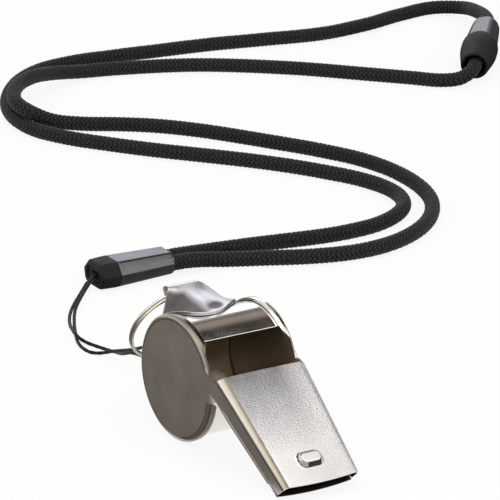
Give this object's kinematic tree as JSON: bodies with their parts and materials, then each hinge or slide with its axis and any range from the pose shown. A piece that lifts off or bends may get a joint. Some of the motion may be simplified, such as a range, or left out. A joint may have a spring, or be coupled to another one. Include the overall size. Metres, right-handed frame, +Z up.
{
  "type": "metal whistle on a lanyard",
  "caption": "Sheet-metal pea whistle with a folded barrel, air window, tapered mouthpiece and split ring, on a black neck cord with a sleeve and breakaway clasp.",
  "frame": {"origin": "on the table under the middle of the whistle with its ring", "axes": "+X along the mouthpiece in plan, +Y along the barrel's axis, +Z up"},
  "size_m": [0.2109, 0.1843, 0.0229],
  "materials": {
    "nickel": "polished nickel plate",
    "satin_nickel": "satin nickel plate",
    "grained_nickel": "nickel plate with a fine pressed grain",
    "cork": "matte cork",
    "gloss_black": "gloss",
    "matte_black": "matte",
    "black_braid": "round braid"
  },
  "bodies": {
    "whistle": {"barrel_band": "nickel", "left_side_plate": "satin_nickel", "right_side_plate": "satin_nickel", "mouthpiece_top": "grained_nickel", "tail_lug": "nickel", "sleeve_shell": "gloss_black", "sleeve_end_plug": "matte_black", "cord_crimp": "nickel", "loop_knot": "black_braid", "loop_cord": "black_braid", "neck_cord_front": "black_braid", "neck_cord_rear": "black_braid", "clasp_socket": "matte_black", "socket_cord_stop": "matte_black"},
    "ring": {"split_ring": "nickel"},
    "pea": {"pea": "cork"},
    "clasp_half": {"clasp_plug": "gloss_black", "plug_cord_stop": "matte_black"}
  },
  "joints": [
    {"name": "ring_swing", "type": "hinge", "parent": "whistle", "child": "ring", "pos_m": [-0.01807, -0.0011, 0.02119], "axis": [0, 1, 0], "range_deg": [-5, 120], "deforming": ["loop_cord"]},
    {"name": "pea_orbit", "type": "hinge", "parent": "whistle", "child": "pea", "pos_m": [-0.00713, 0, 0.011], "axis": [0, 1, 0], "continuous": true},
    {"name": "clasp_release", "type": "slide", "parent": "whistle", "child": "clasp_half", "axis": [-0.7316, 0.6752, 0.0941], "range_m": [0, 0.007], "deforming": ["neck_cord_rear"]}
  ]
}
